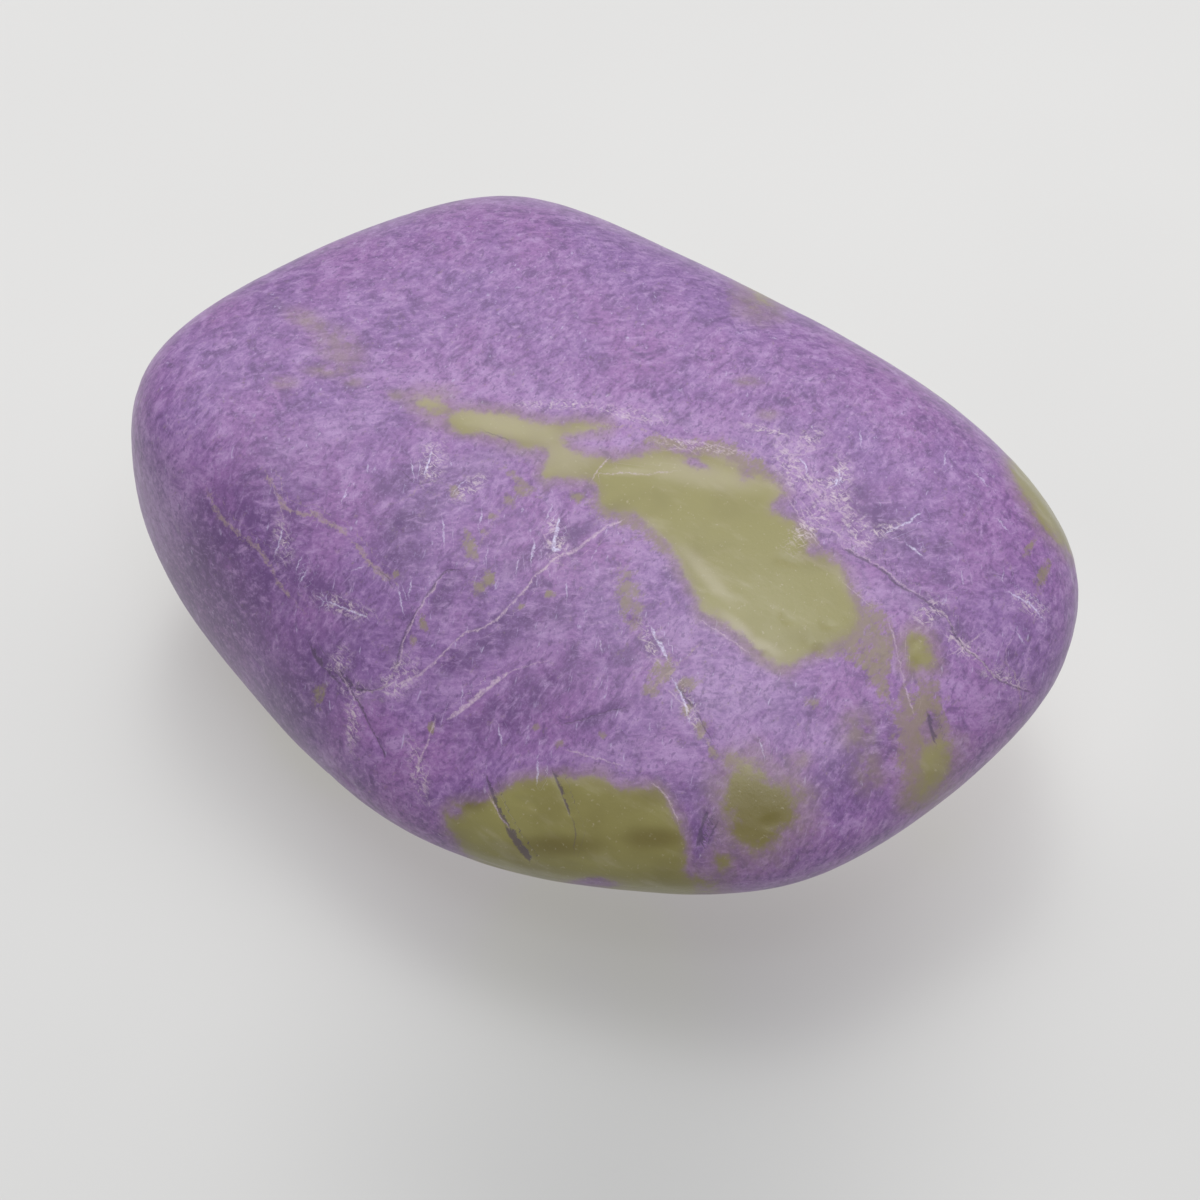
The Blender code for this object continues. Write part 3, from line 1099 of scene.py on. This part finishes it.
def stone_colour(tree, spot, pale, dusk):
    """The violet ground: clouds, mottling, fibres that turn from place to place, and fine flecks."""
    names = ("broad", "mottle", "grit", "shade", "strand", "speck")
    textures = {name: grain(tree, spot, name) for name in names}
    steep = grain(tree, spot, "steep")
    level = grain(tree, spot, "level")
    textures["fibre"] = tint_value(tree, eased_grain(tree, spot, "turning"), steep, level)
    colour = laid_on(tree, VIOLET, textures, GROUND_LAYERS)
    # Dusk lays on painted shade as well as darker violet, and pale lays on painted highlights as well as
    # paler lilac
    colour = covered(tree, colour, "dusk", dusk, DEEP_VIOLET)
    colour = covered(tree, colour, "pale", pale, LILAC)
    return laid_on(tree, colour, textures, FIBRE_LAYERS)


def olive_colour(tree, spot, depth):
    """The serpentine: an even, waxy olive, darker in clouds, browner at its edge, with pale dots."""
    textures = {name: grain(tree, spot, name) for name in ("cloud", "wisp", "dust")}
    textures["depth"] = depth
    colour = laid_on(tree, OLIVE, textures, OLIVE_LAYERS)
    # On the olive too, pale lays on painted highlights and dusk painted shade, as well as paler and darker
    # olive
    colour = covered(tree, colour, "olive pale", attribute(tree, "pale"), PALE_OLIVE)
    colour = covered(tree, colour, "olive dusk", attribute(tree, "dusk"), DEEP_OLIVE)
    return laid_on(tree, colour, textures, DUST_LAYERS)


def stains_and_painted_light_colour(tree, spot, depth):
    """The violet with its tan and brown stains, browner close to the olive, and its dusky and pale marks,
    which are partly painted shade and painted highlights.
    """
    patchy = grain(tree, spot, "patchy")
    dusk, pale, faint = (
        less(tree, attribute(tree, name), eased(tree, name, patchy))
        for name in ("dusk", "pale", "faint")
    )
    stain = eased(tree, "stain", math_of(tree, "ADD", attribute(tree, "tan"), swing(tree, spot, "stain")))
    earthy = tint(tree, eased_grain(tree, spot, "earth"), TAN, BROWN_OLIVE)
    colour = stone_colour(tree, spot, pale, dusk)
    colour = covered(tree, colour, "stain", stain, earthy)
    colour = covered(tree, colour, "faint", faint, earthy)
    return covered(tree, colour, "halo", eased(tree, "halo", depth), TAN)


def crumbled(tree, spot):
    """How much of its cover a line keeps from place to place."""
    return tint_value(tree, eased_grain(tree, spot, "crumbs"), CRUMB_COVER, 1.0)


def tan_veins(tree, spot, colour):
    """The colour with the tan veins over it, which run under the olive."""
    wobble = less(tree, swing(tree, spot, "wobble"), TAN_WOBBLE)
    breaks = less(tree, eased_grain(tree, spot, "breaks"), BREAK_SHARE)
    vein = line_cover(tree, "tan_line", wobble, breaks, crumbled(tree, spot))
    return covered(tree, colour, "tan_line", vein, TAN_VEIN)


def fibre_tangles(tree, spot, colour):
    """The colour with short pale fibres over it, that lie across each other."""
    fibres = math_of(tree, "MAXIMUM", eased_grain(tree, spot, "falling"), eased_grain(tree, spot, "rising"))
    cover = less(tree, fibres, attribute(tree, "tangle"))
    return covered(tree, colour, "tangle", cover, FIBRE)


def fine_lines(tree, spot, colour):
    """The colour with cracks and cream and white lines over it, and the cracks' cover."""
    wobble = swing(tree, spot, "wobble")
    gaps = less(tree, eased_grain(tree, spot, "gaps"), GAP_SHARE)
    crumbs = crumbled(tree, spot)
    crack = line_cover(tree, "crack", wobble, gaps, 1.0)
    cream = line_cover(tree, "cream", wobble, gaps, crumbs)
    white = line_cover(tree, "white", wobble, less(tree, gaps, WHITE_SHARE), crumbs)
    colour = covered(tree, colour, "crack", crack, DARK)
    colour = covered(tree, colour, "cream", cream, CREAM)
    return covered(tree, colour, "white", white, WHITE), crack


def add_polish(tree, shader, spot, olive):
    """A satin polish, a little smoother on the olive, and a faint sheen."""
    worn = added(tree, "ShaderNodeMapRange", {"Value": grain(tree, spot, "wear"), **WEAR}, "Result")
    polish = math_of(tree, "SUBTRACT", worn, less(tree, olive, OLIVE_POLISH))
    feed(tree, shader, {"Roughness": polish, **STONE_FINISH})


def add_unevenness(tree, shader, spot, crack):
    """The finest unevenness, and the sharp middle of each crack, which the mesh is too coarse for."""
    uneven = math_of(tree, "ADD", grain(tree, spot, "uneven"), less(tree, crack, BUMP_OF_CRACKS))
    feed(tree, shader, {"Normal": added(tree, "ShaderNodeBump", {"Height": uneven, **BUMP}, "Normal")})


def new_material(name):
    """A new material, with its node tree and its shader."""
    material = bpy.data.materials.new(name)
    material.use_nodes = True
    return material, material.node_tree, material.node_tree.nodes["Principled BSDF"]


def stone_material():
    """Violet stichtite with olive serpentine, tan stains, cream and white lines and dark cracks."""
    material, tree, shader = new_material("stichtite")
    spot = millimetres(tree)
    frayed = math_of(tree, "ADD", attribute(tree, "olive"), swing(tree, spot, "ragged"))
    depth = math_of(tree, "ADD", frayed, swing(tree, spot, "frayed"))
    olive = eased(tree, "olive", depth)
    colour = stains_and_painted_light_colour(tree, spot, depth)
    colour = tan_veins(tree, spot, colour)
    colour = tint(tree, olive, colour, olive_colour(tree, spot, depth))
    colour = fibre_tangles(tree, spot, colour)
    colour, crack = fine_lines(tree, spot, colour)
    feed(tree, shader, {"Base Color": colour})
    add_polish(tree, shader, spot, olive)
    add_unevenness(tree, shader, spot, crack)
    return material


# The studio


def floor_spot(tree, spot, place, radius):
    """1 at this place on the floor, fading to 0 at this radius, in millimetres."""
    away = added(tree, "ShaderNodeVectorMath", {0: spot, 1: place}, "Value", operation="DISTANCE")
    return ease(tree, away, radius, 0)


def floor_material():
    material, tree, shader = new_material("pale floor")
    spot = millimetres(tree)
    _, up, _ = camera_axes()
    inputs = {0: spot, 1: (up.x, up.y, 0)}
    far_off = added(tree, "ShaderNodeVectorMath", inputs, "Value", operation="DOT_PRODUCT")
    glow = tint(tree, ease(tree, far_off, FLOOR_FRONT, FLOOR_BACK), FLOOR_DIM, FLOOR_GLOW)
    glow = tint(tree, floor_spot(tree, spot, FLOOR_LIT_AT, FLOOR_LIT_RADIUS), glow, FLOOR_LIT)
    glow = tint(tree, floor_spot(tree, spot, FLOOR_SHADE_AT, FLOOR_SHADE_RADIUS), glow, FLOOR_SHADE)
    colour = tint(tree, eased_grain(tree, spot, "floor"), FLOOR, FLOOR_CLOUD)
    feed(tree, shader, {"Base Color": colour, "Emission Color": glow, **FLOOR_FINISH})
    return material


def add_floor():
    bpy.ops.mesh.primitive_plane_add(size=FLOOR_SIZE, location=(0, 0, 0))
    floor = bpy.context.object
    floor.name = "floor"
    floor.data.materials.append(floor_material())


def add_softbox(name, turn_deg, rise_deg, distance, size, power):
    """A square soft light that looks at the stone from this far round and up."""
    away = towards(turn_deg, rise_deg)
    light = bpy.data.objects.new(name, bpy.data.lights.new(name, "AREA"))
    light.data.shape = "SQUARE"
    light.data.size = size
    light.data.energy = power
    light.location = away * distance
    light.rotation_euler = away.to_track_quat("Z", "Y").to_euler()
    bpy.context.scene.collection.objects.link(light)


def add_world():
    world = bpy.data.worlds.new("studio")
    world.use_nodes = True
    background = {"Color": WORLD_COLOUR, "Strength": WORLD_STRENGTH}
    feed(world.node_tree, world.node_tree.nodes["Background"], background)
    bpy.context.scene.world = world


def add_studio():
    add_floor()
    add_world()
    for light in LIGHTS:
        add_softbox(*light)
    bpy.context.scene.view_settings.view_transform = "Standard"


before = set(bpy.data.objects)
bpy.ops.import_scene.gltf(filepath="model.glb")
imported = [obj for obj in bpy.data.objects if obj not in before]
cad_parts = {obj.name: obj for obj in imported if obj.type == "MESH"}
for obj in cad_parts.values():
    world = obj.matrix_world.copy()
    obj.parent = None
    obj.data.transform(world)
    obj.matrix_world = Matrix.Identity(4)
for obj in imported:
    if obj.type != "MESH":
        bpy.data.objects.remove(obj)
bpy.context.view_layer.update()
add_camera()
stone_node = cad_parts["tumbled_stone"]
stone_skin = add_skin(stone_node)
stone_skin.data.materials.append(stone_material())
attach(stone_skin, "root")
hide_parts("tumbled_stone")
add_studio()
